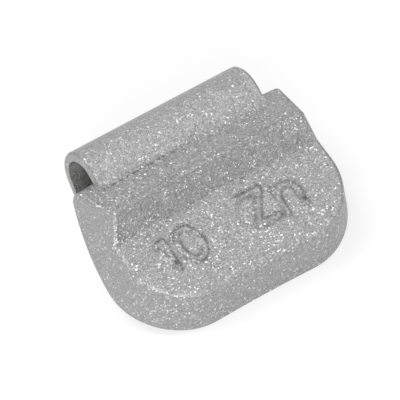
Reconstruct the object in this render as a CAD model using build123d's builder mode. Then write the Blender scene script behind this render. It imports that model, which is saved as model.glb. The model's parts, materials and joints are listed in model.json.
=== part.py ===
# Clip-on wheel balance weight, lying on its back: a zinc casting on a spring-steel rim clip.
# Millimetres and degrees. X runs along the rim, +Z is up, the origin is under the middle.

import os
from math import asin, atan2, cos, degrees, radians, sin, sqrt

from build123d import *

# Zinc body: heights run up from its lower back edge, depths are measured from the front face
body_length = 24.8
body_thickness = 4.17
body_draft = 18
lower_corner_radius = 7.0
face_height = 9.14
crest_height = 11.07
crest_rise = 2.5
ridge_height = 15.95
ridge_setback = 0.22
seat_start_height = 4.2
crest_radius = 0.35
ridge_radius = 0.8
valley_radius = 0.3
edge_radius = 0.4
rim_radius = 190.0

# Spring-steel clip: lengths run along the strip from where it leaves the ridge
clip_width = 18.0
strip_thickness = 0.8
strip_lean = 20.4
strip_exit_height = 14.85
strip_exit_rise = 1.02
tail_depth = 6.2
hook_rise = 0.48
hook_inner_radius = 1.8
leg_length = 8.2
leg_flare = 14
leg_corner_radius = 1.0
clip_edge_radius = 0.3
anchor_hole_diameter = 2.4
anchor_hole_spacing = 10.0
anchor_hole_depth = 4.2

# Room by which a cutting shape runs past what it cuts
overrun = 3.0

hook_outer_radius = hook_inner_radius + strip_thickness
base_radius = rim_radius - ridge_height
draft = radians(body_draft)
lean = radians(strip_lean)
flare = radians(leg_flare)

# Section planes across the rim, as the weight sits on a wheel: x runs up the body or the strip, y forwards
casting = Plane(origin=(0, 0, 0), x_dir=(0, 0, 1), z_dir=(1, 0, 0))
strip = Plane(
    origin=casting.from_local_coords((strip_exit_height, strip_exit_rise, 0)),
    x_dir=(0, -sin(lean), cos(lean)),
    z_dir=(1, 0, 0),
)

# Spring clip: tail, hook and free leg bent from one flat strip
with BuildPart() as spring_clip:
    with BuildSketch(strip):
        with BuildLine():
            hook_centre = (hook_rise, -hook_outer_radius)
            front = Line((-tail_depth, 0), (hook_rise, 0))
            hook_outside = CenterArc(hook_centre, hook_outer_radius, 90, leg_flare - 180)
            leg_outside = PolarLine(hook_outside @ 1, leg_length, 180 + leg_flare)
            hook_inside = CenterArc(hook_centre, hook_inner_radius, 90, leg_flare - 180)
            leg_inside = PolarLine(hook_inside @ 1, leg_length, 180 + leg_flare)
            leg_tip = Line(leg_outside @ 1, leg_inside @ 1)
            back = Line(hook_inside @ 0, (-tail_depth, -strip_thickness))
            Line(back @ 1, front @ 0)
        make_face()
    extrude(amount=clip_width / 2, both=True)

    # Two holes in the tail, which the zinc fills and so locks the clip in
    with BuildSketch(Plane(strip.origin, x_dir=(1, 0, 0), z_dir=strip.y_dir)):
        with Locations((0, -anchor_hole_depth)):
            with GridLocations(anchor_hole_spacing, 0, 2, 1):
                Circle(anchor_hole_diameter / 2)
    extrude(amount=-strip_thickness, mode=Mode.SUBTRACT)

    # The leg has round corners, and the stamping left the strip's outer edges rounded all along
    leg_end = spring_clip.faces().sort_by_distance(strip.from_local_coords(leg_tip @ 0.5))[0]
    fillet(leg_end.edges().filter_by(Axis.X, reverse=True), leg_corner_radius)
    side_arcs = spring_clip.faces().filter_by(Axis.X).edges().filter_by(GeomType.CIRCLE)
    fillet(side_arcs.sort_by(SortBy.RADIUS)[-2:], clip_edge_radius)
spring_clip.part.label = "spring_clip"

# Zinc body: its section swept along the rim, trimmed to a drafted outline, cast round the tail
with BuildPart() as weight_body:
    sweep = 2 * degrees(asin((body_length / 2 + overrun) / base_radius))
    wheel_axis = Axis(casting.from_local_coords((-base_radius, 0, 0)), casting.y_dir)
    sweep_start = Plane(
        wheel_axis.position,
        x_dir=casting.x_dir.rotate(wheel_axis, -sweep / 2),
        z_dir=casting.z_dir.rotate(wheel_axis, -sweep / 2),
    )
    with BuildSketch(sweep_start) as section:
        with BuildLine():
            valley = (base_radius + face_height, 0)
            crest = (base_radius + crest_height, crest_rise)
            ridge = (base_radius + ridge_height, -ridge_setback)
            front_foot = (base_radius - overrun, 0)
            back_foot = (base_radius - overrun, -body_thickness)
            Polyline(back_foot, front_foot, valley, crest, ridge)
            flat_back = Line(back_foot, (base_radius + seat_start_height, -body_thickness))
            TangentArc(flat_back @ 1, ridge, tangent=flat_back % 1)
        make_face()
        fillet(section.vertices().sort_by_distance(crest)[0], crest_radius)
        fillet(section.vertices().sort_by_distance(valley)[0], valley_radius)
        fillet(section.vertices().sort_by_distance(ridge)[0], ridge_radius)
    revolve(axis=wheel_axis, revolution_arc=sweep)

    back_origin = casting.from_local_coords((0, -body_thickness, 0))
    with BuildSketch(Plane(back_origin, x_dir=(1, 0, 0), z_dir=casting.y_dir)) as outline:
        with BuildLine():
            end = body_length / 2
            foot = sqrt(base_radius**2 - end**2) - base_radius
            top = ridge_height + overrun
            ThreePointArc((-end, foot), (0, 0), (end, foot))
            Polyline((end, foot), (end, top), (-end, top), (-end, foot))
        make_face()
        fillet(outline.vertices().group_by(Axis.Y)[0], lower_corner_radius)
    extrude(amount=body_thickness + crest_rise + overrun, taper=body_draft, mode=Mode.INTERSECT)
    fillet(weight_body.edges(Select.NEW), edge_radius)
    add(spring_clip.part, mode=Mode.SUBTRACT)
weight_body.part.label = "weight_body"

# Off the wheel, the weight lies on two rounded edges: the body's lower back edge and the leg's tip
back_edge = Vector(edge_radius * cos(draft) / (1 - sin(draft)), edge_radius - body_thickness)
tip_rounding = leg_outside @ 1 + (leg_tip % 0 - leg_outside % 1) * clip_edge_radius
leg_edge = casting.to_local_coords(strip.from_local_coords(tip_rounding))
span = leg_edge - back_edge
lie = asin((clip_edge_radius - edge_radius) / span.length) - atan2(span.Y, span.X)
lying = Location((0, 0, 0), (degrees(lie) - 90, 0, 0))
weight_body.part.move(lying)
spring_clip.part.move(lying)

# The origin is on the surface that it lies on, under the middle
box = weight_body.part.bounding_box().add(spring_clip.part.bounding_box())
set_down = Location((0, -box.center().Y, -box.min.Z))
weight_body.part.move(set_down)
spring_clip.part.move(set_down)

os.makedirs("parts", exist_ok=True)
export_step(weight_body.part, "parts/weight_body.step")
export_step(spring_clip.part, "parts/spring_clip.step")
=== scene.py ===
import json
import math

import bpy
import numpy as np
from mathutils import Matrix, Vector, noise


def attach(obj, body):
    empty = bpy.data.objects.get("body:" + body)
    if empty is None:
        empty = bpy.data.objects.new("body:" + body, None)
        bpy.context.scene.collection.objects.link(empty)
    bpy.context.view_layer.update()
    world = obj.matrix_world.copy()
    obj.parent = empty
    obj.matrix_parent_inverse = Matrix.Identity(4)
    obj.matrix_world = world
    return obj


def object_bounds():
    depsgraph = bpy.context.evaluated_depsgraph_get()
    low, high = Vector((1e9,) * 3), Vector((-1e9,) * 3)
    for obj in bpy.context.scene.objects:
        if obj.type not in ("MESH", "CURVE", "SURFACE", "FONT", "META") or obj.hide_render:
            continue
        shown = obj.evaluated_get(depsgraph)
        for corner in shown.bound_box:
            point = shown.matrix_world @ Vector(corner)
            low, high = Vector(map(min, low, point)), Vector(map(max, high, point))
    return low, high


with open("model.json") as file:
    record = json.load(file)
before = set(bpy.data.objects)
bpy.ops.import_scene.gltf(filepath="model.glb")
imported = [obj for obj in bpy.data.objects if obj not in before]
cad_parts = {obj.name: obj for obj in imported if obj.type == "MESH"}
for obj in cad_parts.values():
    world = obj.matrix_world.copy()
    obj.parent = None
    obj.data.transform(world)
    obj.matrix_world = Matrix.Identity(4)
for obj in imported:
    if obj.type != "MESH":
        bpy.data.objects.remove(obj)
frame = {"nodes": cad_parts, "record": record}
cad_low, cad_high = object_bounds()


# Spring clip
# A strip of spring steel bent into a hook that grips the wheel's rim flange; its tail is cast into the
# zinc. It was sprayed together with the body, in a clear lacquer full of fine aluminium flakes.
MM = 0.001


def node_makers(tree):
    """Short ways to add a math, a vector math or a ramp node to one node tree."""

    def wire(node, operation, terms):
        node.operation = operation
        for socket, term in zip(node.inputs, terms):
            if isinstance(term, bpy.types.NodeSocket):
                tree.links.new(term, socket)
            else:
                socket.default_value = term
        return node.outputs["Value"] if operation == "DOT_PRODUCT" else node.outputs[0]

    def value(operation, *terms):
        return wire(tree.nodes.new("ShaderNodeMath"), operation, terms)

    def vector(operation, *terms):
        return wire(tree.nodes.new("ShaderNodeVectorMath"), operation, terms)

    def ramp(term, low, high, to_low, to_high):
        node = tree.nodes.new("ShaderNodeMapRange")
        for socket, number in zip(list(node.inputs)[1:5], (low, high, to_low, to_high)):
            socket.default_value = number
        tree.links.new(term, node.inputs[0])
        return node.outputs[0]

    return value, vector, ramp


def flake_lacquer(spray_from):
    """Shader group of the sprayed coat: grey lacquer full of flakes, densest on what faced the spray gun."""
    flake_size = 0.10 * MM
    grain_size = 0.085 * MM
    glint_size = 0.12 * MM
    patch_size = 0.8 * MM
    dapple_size = 0.35 * MM
    calm_patch = 0.3
    turned_away = 0.50
    darkest_grey_share = 0.25
    glint_rarity = 16
    low_roughness = 0.34
    uneven_roughness = 0.16

    group = bpy.data.node_groups.new("flake_lacquer", "ShaderNodeTree")
    for name in ("Grey", "Grain", "Flake tilt", "Painted glints", "Painted shade"):
        group.interface.new_socket(name, in_out="INPUT", socket_type="NodeSocketFloat")
    outputs = {"Color": "Color", "Roughness": "Float", "Height": "Float", "Normal": "Vector"}
    for name, kind in outputs.items():
        group.interface.new_socket(name, in_out="OUTPUT", socket_type="NodeSocket" + kind)
    nodes, links = group.nodes, group.links
    value, vector, ramp = node_makers(group)
    given = nodes.new("NodeGroupInput").outputs
    result = nodes.new("NodeGroupOutput").inputs
    place = nodes.new("ShaderNodeTexCoord").outputs["Object"]
    facing = nodes.new("ShaderNodeNewGeometry").outputs["Normal"]

    def cells(size):
        node = nodes.new("ShaderNodeTexVoronoi")
        node.inputs["Scale"].default_value = 1 / size
        links.new(place, node.inputs["Vector"])
        return node.outputs["Color"]

    def channels(colour):
        node = nodes.new("ShaderNodeSeparateColor")
        links.new(colour, node.inputs[0])
        return node.outputs

    def cloud(size):
        node = nodes.new("ShaderNodeTexNoise")
        node.inputs["Scale"].default_value = 1 / size
        node.inputs["Detail"].default_value = 2
        links.new(place, node.inputs["Vector"])
        return node.outputs["Fac"]

    flake = cells(flake_size)
    grain = channels(cells(grain_size))
    glint = channels(cells(glint_size))
    patch = ramp(cloud(patch_size), 0.35, 0.65, calm_patch, 1)
    sprayed = ramp(vector("DOT_PRODUCT", facing, spray_from), 0.20, 0.70, turned_away, 1)
    # Painted shade comes from the mesh's darkening attribute and from the material's shade input
    painted_darkening = nodes.new("ShaderNodeAttribute")
    painted_darkening.attribute_name = "painted_darkening"
    unshaded = value("SUBTRACT", 1, value("MAXIMUM", painted_darkening.outputs["Fac"], given["Painted shade"]))

    # Grey of the lacquer: fine grain, painted glints on a few flakes, all darker where painted shade is laid
    # on by the piece or its mesh
    speck = value("MULTIPLY", value("SUBTRACT", grain[0], 0.5), value("MULTIPLY", given["Grain"], sprayed))
    shade = value("MULTIPLY", given["Grey"], value("ADD", speck, 1))
    shade = value("MULTIPLY", shade, value("MULTIPLY_ADD", unshaded, 1 - darkest_grey_share, darkest_grey_share))
    # Painted glints: a few flakes are painted bright, most on faces toward the spray gun
    painted_glint = value("MULTIPLY", value("POWER", glint[0], glint_rarity), value("MULTIPLY", patch, sprayed))
    painted_glint = value("MULTIPLY", value("MULTIPLY", painted_glint, unshaded), given["Painted glints"])
    shade = value("ADD", shade, painted_glint)
    colour = nodes.new("ShaderNodeCombineColor")
    for channel in colour.inputs:
        links.new(shade, channel)
    links.new(colour.outputs[0], result["Color"])

    # Each flake tips its own way, more in some patches than in others
    tilt = value("MULTIPLY", value("MULTIPLY", patch, sprayed), given["Flake tilt"])
    tip = nodes.new("ShaderNodeVectorMath")
    tip.operation = "SCALE"
    links.new(vector("SUBTRACT", flake, (0.5, 0.5, 0.5)), tip.inputs[0])
    links.new(tilt, tip.inputs["Scale"])
    links.new(vector("NORMALIZE", vector("ADD", facing, tip.outputs[0])), result["Normal"])

    # The sprayed film is slightly dappled and its gloss uneven
    links.new(cloud(dapple_size), result["Height"])
    links.new(value("MULTIPLY_ADD", grain[2], uneven_roughness, low_roughness), result["Roughness"])
    return group


def sprayed_silver(name, grey, grain, tilt, painted_glints):
    """One piece's silver finish, with the lacquer group's values for that piece."""
    dapple_depth = 0.02 * MM
    material = bpy.data.materials.new(name)
    material.use_nodes = True
    nodes, links = material.node_tree.nodes, material.node_tree.links
    coat = nodes.new("ShaderNodeGroup")
    coat.node_tree = lacquer
    coat.name = "lacquer"
    coat.inputs["Grey"].default_value = grey
    coat.inputs["Grain"].default_value = grain
    coat.inputs["Flake tilt"].default_value = tilt
    coat.inputs["Painted glints"].default_value = painted_glints
    skin = nodes.new("ShaderNodeBump")
    skin.inputs["Strength"].default_value = 1.0
    skin.inputs["Distance"].default_value = dapple_depth
    links.new(coat.outputs["Height"], skin.inputs["Height"])
    links.new(coat.outputs["Normal"], skin.inputs["Normal"])
    shader = nodes["Principled BSDF"]
    shader.inputs["Metallic"].default_value = 0.55
    shader.inputs["Specular IOR Level"].default_value = 0.5
    links.new(coat.outputs["Color"], shader.inputs["Base Color"])
    links.new(coat.outputs["Roughness"], shader.inputs["Roughness"])
    links.new(skin.outputs["Normal"], shader.inputs["Normal"])
    return material


# The spray gun looked at the weight's front from a little below
spray_lean = 0.4
rim_seat = next(mount for mount in frame["record"]["mounts"] if mount["name"] == "rim_seat")
face_normal = -Vector(rim_seat["axis"])
face_up = Vector((0, face_normal.z, -face_normal.y))
lacquer = flake_lacquer((face_normal - spray_lean * face_up).normalized())
clip = frame["nodes"]["spring_clip"]
clip_silver = sprayed_silver("clip_silver", grey=0.312, grain=0.60, tilt=0.7, painted_glints=0.68)
clip.data.materials.clear()
clip.data.materials.append(clip_silver)

# Painted shade: the inside of the hook is painted dark grey, and the strip's rounded side edges are painted
# darker to damp their highlight
hollow_shade_grey = (0.27, 0.27, 0.265, 1)
strip_edge_shade = 0.35
hook_radius = 2.6 * MM
hook_top = max(vertex.co.z for vertex in clip.data.vertices)
hook_rear = max(vertex.co.y for vertex in clip.data.vertices)
hook_axis = Vector((0, hook_rear - hook_radius, hook_top - hook_radius))

tree = clip_silver.node_tree
value, vector, ramp = node_makers(tree)
place = tree.nodes.new("ShaderNodeTexCoord").outputs["Object"]
facing = tree.nodes.new("ShaderNodeNewGeometry").outputs["Normal"]
# Faces that look into the hook's hollow get painted shade
looks_in = vector("DOT_PRODUCT", vector("SUBTRACT", hook_axis, place), facing)
hollow_shade = tree.nodes.new("ShaderNodeMix")
hollow_shade.data_type = "RGBA"
hollow_shade.inputs["B"].default_value = hollow_shade_grey
tree.links.new(ramp(looks_in, 0.1 * MM, 1.2 * MM, 0, 1), hollow_shade.inputs["Factor"])
tree.links.new(tree.nodes["lacquer"].outputs["Color"], hollow_shade.inputs["A"])
tree.links.new(hollow_shade.outputs["Result"], tree.nodes["Principled BSDF"].inputs["Base Color"])
# Painted shade along the strip's rounded side edges, damping their highlight
sideways = vector("DOT_PRODUCT", facing, (1, 0, 0))
sideways = value("MULTIPLY", sideways, sideways)
off_front = ramp(sideways, 0.01, 0.10, 0, 1)
off_side = ramp(sideways, 0.60, 0.95, strip_edge_shade, 0)
tree.links.new(value("MULTIPLY", off_front, off_side), tree.nodes["lacquer"].inputs["Painted shade"])


# Zinc body
# Die-cast zinc, poured round the clip's tail and curved along its length to follow the wheel's rim. It has
# the same silver lacquer, with most flakes on the open front and fewest on the steep ends and the back.
crest_shade = 0.20
crest_band = 0.30 * MM
end_edge_shade = 0.32

body = frame["nodes"]["weight_body"]
body_silver = sprayed_silver("body_silver", grey=0.298, grain=0.65, tilt=0.8, painted_glints=0.85)
body.data.materials.clear()
body.data.materials.append(body_silver)

# Painted shade darkens the crest and the rounded edges at the ends, damping their highlights, but not at the
# valley's slope
crest_top = max(vertex.co.dot(face_normal) for vertex in body.data.vertices)
tree = body_silver.node_tree
value, vector, ramp = node_makers(tree)
place = tree.nodes.new("ShaderNodeTexCoord").outputs["Object"]
facing = tree.nodes.new("ShaderNodeNewGeometry").outputs["Normal"]
height = vector("DOT_PRODUCT", place, face_normal)
forward = vector("DOT_PRODUCT", facing, face_normal)
upward = vector("DOT_PRODUCT", facing, face_up)
sideways = vector("DOT_PRODUCT", facing, (1, 0, 0))
sideways = value("MULTIPLY", sideways, sideways)
on_crest = ramp(height, crest_top - crest_band, crest_top, 0, crest_shade)
on_edge = value("MULTIPLY", ramp(forward, 0.42, 0.74, 0, 1), ramp(sideways, 0.005, 0.08, 0, end_edge_shade))
on_edge = value("MULTIPLY", on_edge, ramp(upward, -0.45, -0.10, 0, 1))
tree.links.new(value("MAXIMUM", on_crest, on_edge), tree.nodes["lacquer"].inputs["Painted shade"])


# Cast seam
# Where the mould closed on the strip, a little zinc crept up its front. It fills the corner smoothly
# towards one end of the clip, and towards the other it has shrunk from the steel in small cracks, painted
# dark as shade.
seam_length = 17.9 * MM
seam_stations = 360
seam_points = 13
seam_sink = 0.008 * MM
seam_bead = 0.05 * MM
cracked_until = -4 * MM
filled_from = 3 * MM
crack_place = 0.78
crack_width = 0.11

fronts = [face for face in clip.data.polygons if face.normal.y < -0.5 and face.normal.z > 0.7]
flat_front = max(fronts, key=lambda face: face.area)
strip_front = flat_front.normal.copy()
strip_up = Vector((0, strip_front.z, -strip_front.y))
just_off_strip = strip_front * (flat_front.center.dot(strip_front) + 0.02 * MM)
well_above = strip_up * (flat_front.center.dot(strip_up) + 4 * MM)
seam_vertices, seam_shade = [], []
for i in range(seam_stations):
    x = seam_length * (i / (seam_stations - 1) - 0.5)
    above = Vector((x, 0, 0)) + just_off_strip + well_above
    _, corner, slope_normal, _ = body.ray_cast(above, -strip_up)
    slope_out = Vector((1, 0, 0)).cross(slope_normal).normalized()
    slope_out *= math.copysign(1, slope_out.dot(strip_front))
    wander = noise.fractal(Vector((x / (1.1 * MM), 3, 0)), 0.7, 2, 4)
    ragged = noise.fractal(Vector((x / (0.45 * MM), 7, 0)), 0.7, 2, 3)
    filled = min(max((x - cracked_until) / (filled_from - cracked_until), 0), 1)
    climb = (0.12 + 0.38 * filled + 0.08 * wander) * MM
    run = (0.62 + 0.10 * filled + 0.12 * ragged) * MM
    crack = (1 - filled) * min(max(0.55 + 2.6 * ragged, 0), 1)
    on_strip = corner + strip_up * climb - strip_front * seam_sink
    on_slope = corner + slope_out * run - slope_normal * seam_sink

    # From the strip to the slope: one soft curve, slightly swollen, with the crack low on it
    for j in range(seam_points):
        t = j / (seam_points - 1)
        point = on_strip * (1 - t) ** 2 + corner * (2 * t * (1 - t)) + on_slope * t**2
        depth = crack * math.exp(-(((t - crack_place - 0.08 * wander) / crack_width) ** 2))
        point += slope_normal * (seam_bead * 4 * t * (1 - t) * (1 - 0.5 * depth))
        seam_vertices.append(point)
        # The crack's depth also sets how dark its painted shade is
        seam_shade.append(depth)
seam_faces = []
for i in range(seam_stations - 1):
    for j in range(seam_points - 1):
        first = i * seam_points + j
        seam_faces.append((first, first + 1, first + seam_points + 1, first + seam_points))


def coated_piece(name, vertices, faces, darkening):
    """A small sprayed form on the casting; its darkening values paint shade into creases and darken single
    spots.
    """
    mesh = bpy.data.meshes.new(name)
    mesh.from_pydata(vertices, [], faces)
    mesh.polygons.foreach_set("use_smooth", [True] * len(faces))
    mesh.attributes.new("painted_darkening", "FLOAT", "POINT").data.foreach_set("value", darkening)
    mesh.materials.append(body_silver)
    piece = bpy.data.objects.new(name, mesh)
    bpy.context.scene.collection.objects.link(piece)
    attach(piece, "root")


coated_piece("cast_seam", seam_vertices, seam_faces, seam_shade)


# Raised marks
# Two plain marks that the mould leaves standing on the pad: the mass in grams and the sign of the metal.
# Each is a low, soft-edged stroke of zinc under the same lacquer, with painted shade along the stroke's
# feet.
stroke_width = 0.60 * MM
stroke_slope = 0.40 * MM
stroke_height = 0.09 * MM
stroke_wander = 0.05 * MM
foot_width = 0.19 * MM
dark_spot_radius = 0.32 * MM
mark_margin = 0.75 * MM
mark_step = 0.06 * MM
mark_film = 0.004 * MM

pad_faces = [face for face in body.data.polygons if face.normal.dot(face_normal) > 0.999]
flat_pad = max(pad_faces, key=lambda face: face.area)
pad_foot = min(vertex.co.dot(face_up) for vertex in body.data.vertices)
pad_origin = face_normal * flat_pad.center.dot(face_normal) + face_up * pad_foot


def round_stroke(centre, radius_x, radius_y, start, end):
    angles = np.radians(np.linspace(start, end, 40))
    return [(centre[0] + radius_x * math.cos(a), centre[1] + radius_y * math.sin(a)) for a in angles]


def unevenness(across, upward, size):
    """Soft random relief over a grid, about -0.6 to 0.6."""
    return np.array([[noise.fractal(Vector((x, y, 0)) / size, 0.8, 2, 3) for y in upward] for x in across])


def raised_mark(name, strokes, dark_spot):
    """Strokes in millimetres from the middle of the pad's foot, with one small spot painted darker."""
    ends = [np.array(stroke) * MM for stroke in strokes]
    corners = np.concatenate(ends)
    low, high = corners.min(axis=0) - mark_margin, corners.max(axis=0) + mark_margin
    across = np.arange(low[0], high[0], mark_step)
    upward = np.arange(low[1], high[1], mark_step)
    spots = np.stack(np.meshgrid(across, upward, indexing="ij"), axis=-1)
    reach = np.full(spots.shape[:2], np.inf)
    for stroke in ends:
        for a, b in zip(stroke[:-1], stroke[1:]):
            share = np.clip(((spots - a) @ (b - a)) / ((b - a) @ (b - a)), 0, 1)
            reach = np.minimum(reach, np.linalg.norm(spots - a - share[..., None] * (b - a), axis=-1))
    keep = reach < mark_margin
    edge = np.clip((reach - 0.8 * mark_margin) / (0.2 * mark_margin), 0, 1)

    # The strokes wander and sink in places; painted shade darkens their feet, and one spot is painted darker
    reach = reach + stroke_wander * unevenness(across, upward, 0.5 * MM)
    rise = np.clip((stroke_width / 2 + stroke_slope / 2 - reach) / stroke_slope, 0, 1)
    rise = rise**2 * (3 - 2 * rise)
    broken = np.clip(0.54 + 0.35 * unevenness(across, upward, 0.9 * MM), 0.35, 0.72)
    lift = stroke_height * rise * (0.6 + 0.4 * broken) + mark_film * (1 - 4 * edge)
    foot = broken * np.exp(-(((reach - stroke_width / 2) / foot_width) ** 2))
    spot_darkening = np.exp(-((np.linalg.norm(spots - np.array(dark_spot) * MM, axis=-1) / dark_spot_radius) ** 2))
    foot_and_spot_darkening = np.maximum(foot, spot_darkening)

    # A thin skin over the pad, cut to the strokes' surroundings, with its rim just under the pad's face
    vertices, faces, darkening, number = [], [], [], {}
    for i in range(len(across) - 1):
        for j in range(len(upward) - 1):
            cell = [(i, j), (i + 1, j), (i + 1, j + 1), (i, j + 1)]
            if not all(keep[spot] for spot in cell):
                continue
            for spot in cell:
                if spot not in number:
                    number[spot] = len(vertices)
                    on_pad = Vector((across[spot[0]], 0, 0)) + pad_origin + face_up * upward[spot[1]]
                    vertices.append(on_pad + face_normal * lift[spot])
                    darkening.append(foot_and_spot_darkening[spot])
            faces.append([number[spot] for spot in cell])
    coated_piece(name, vertices, faces, darkening)


one = [(-7.85, 7.10), (-7.00, 7.30), (-7.20, 4.45)]
nought = round_stroke((-4.90, 5.95), 1.06, 1.55, 0, 360)
capital_z = [(1.10, 7.45), (3.45, 7.45), (1.40, 4.45), (3.55, 4.45)]
stem_n = [(4.60, 6.70), (4.35, 4.25)]
arch_n = round_stroke((5.54, 5.72), 0.98, 0.95, 170, 0) + [(6.40, 4.30)]
raised_mark("mass_mark", [one, nought], dark_spot=(-7.14, 4.97))
raised_mark("metal_mark", [capital_z, stem_n, arch_n], dark_spot=(6.56, 4.68))


# Floor, light and camera
# A plain pale table in a soft light tent, lit most from under the camera and from the left. The camera
# stands far back with a long lens, so the weight's edges stay nearly parallel.
table_grey = (0.94, 0.94, 0.94, 1)
table_glow = 0.7
table_reach = 1.2
tent_light = 0.40


def seen_directly(tree):
    """One where the camera sees the surface, straight or by way of a reflection or of glass, else nought."""
    rays = tree.nodes.new("ShaderNodeLightPath")
    seen = rays.outputs["Is Camera Ray"]
    for also in ("Is Glossy Ray", "Is Transmission Ray"):
        either = tree.nodes.new("ShaderNodeMath")
        either.operation = "MAXIMUM"
        tree.links.new(seen, either.inputs[0])
        tree.links.new(rays.outputs[also], either.inputs[1])
        seen = either.outputs[0]
    return seen


table_white = bpy.data.materials.new("table_white")
table_white.use_nodes = True
tree = table_white.node_tree
cloth = tree.nodes["Principled BSDF"]
cloth.inputs["Base Color"].default_value = table_grey
cloth.inputs["Roughness"].default_value = 0.9
glow = tree.nodes.new("ShaderNodeEmission")
glow.inputs["Strength"].default_value = 1.0
glow_share = tree.nodes.new("ShaderNodeMath")
glow_share.operation = "MULTIPLY"
glow_share.inputs[1].default_value = table_glow
tree.links.new(seen_directly(tree), glow_share.inputs[0])
blend = tree.nodes.new("ShaderNodeMixShader")
tree.links.new(glow_share.outputs[0], blend.inputs[0])
tree.links.new(cloth.outputs[0], blend.inputs[1])
tree.links.new(glow.outputs[0], blend.inputs[2])
tree.links.new(blend.outputs[0], tree.nodes["Material Output"].inputs["Surface"])

table_corners = [(x * table_reach, y * table_reach, 0) for x, y in ((-1, -1), (1, -1), (1, 1), (-1, 1))]
table_mesh = bpy.data.meshes.new("table")
table_mesh.from_pydata(table_corners, [], [(0, 1, 2, 3)])
table_mesh.materials.append(table_white)
table = bpy.data.objects.new("table", table_mesh)
bpy.context.scene.collection.objects.link(table)

world = bpy.data.worlds.new("light_tent")
bpy.context.scene.world = world
world.use_nodes = True
tent = world.node_tree
tent.nodes.clear()
lit = tent.nodes.new("ShaderNodeBackground")
lit.inputs["Color"].default_value = (1, 1, 1, 1)
lit.inputs["Strength"].default_value = tent_light
white = tent.nodes.new("ShaderNodeBackground")
white.inputs["Color"].default_value = (1, 1, 1, 1)
white.inputs["Strength"].default_value = 1.0
choose = tent.nodes.new("ShaderNodeMixShader")
tent.links.new(seen_directly(tent), choose.inputs[0])
tent.links.new(lit.outputs[0], choose.inputs[1])
tent.links.new(white.outputs[0], choose.inputs[2])
tent.links.new(choose.outputs[0], tent.nodes.new("ShaderNodeOutputWorld").inputs["Surface"])


def stand_facing(name, data, aim, azimuth, elevation, distance):
    """A lamp or camera that looks at a point, from degrees round the front and degrees up."""
    a, e = math.radians(azimuth), math.radians(elevation)
    back = Vector((math.sin(a) * math.cos(e), -math.cos(a) * math.cos(e), math.sin(e)))
    stand = bpy.data.objects.new(name, data)
    stand.location = aim + back * distance
    stand.rotation_euler = (-back).to_track_quat("-Z", "Y").to_euler()
    bpy.context.scene.collection.objects.link(stand)
    return stand


def softbox(name, azimuth, elevation, size, power):
    lamp = bpy.data.lights.new(name, "AREA")
    lamp.shape = "DISK"
    lamp.size = size
    lamp.energy = power
    stand_facing(name, lamp, (cad_low + cad_high) / 2, azimuth, elevation, distance=0.5)


softbox("key_box", azimuth=-38, elevation=30, size=0.3, power=1.72)
softbox("left_box", azimuth=-120, elevation=60, size=0.3, power=1.30)
softbox("right_box", azimuth=55, elevation=48, size=0.2, power=0.20)
softbox("back_box", azimuth=180, elevation=70, size=0.3, power=0.12)

view_azimuth, view_elevation = -37.65, 43.92
view_aim = Vector((-0.50, 0.33, 5.035)) * MM
view_distance = 600 * MM
view_width = 400 / 11.64 * MM
camera = bpy.data.cameras.new("photo_camera")
camera.sensor_width = 36
camera.lens = camera.sensor_width * view_distance / view_width
camera.clip_start = 0.01
camera.clip_end = 10
tripod = stand_facing("photo_camera", camera, view_aim, view_azimuth, view_elevation, view_distance)
bpy.context.scene.camera = tripod
bpy.context.scene.view_settings.view_transform = "Standard"
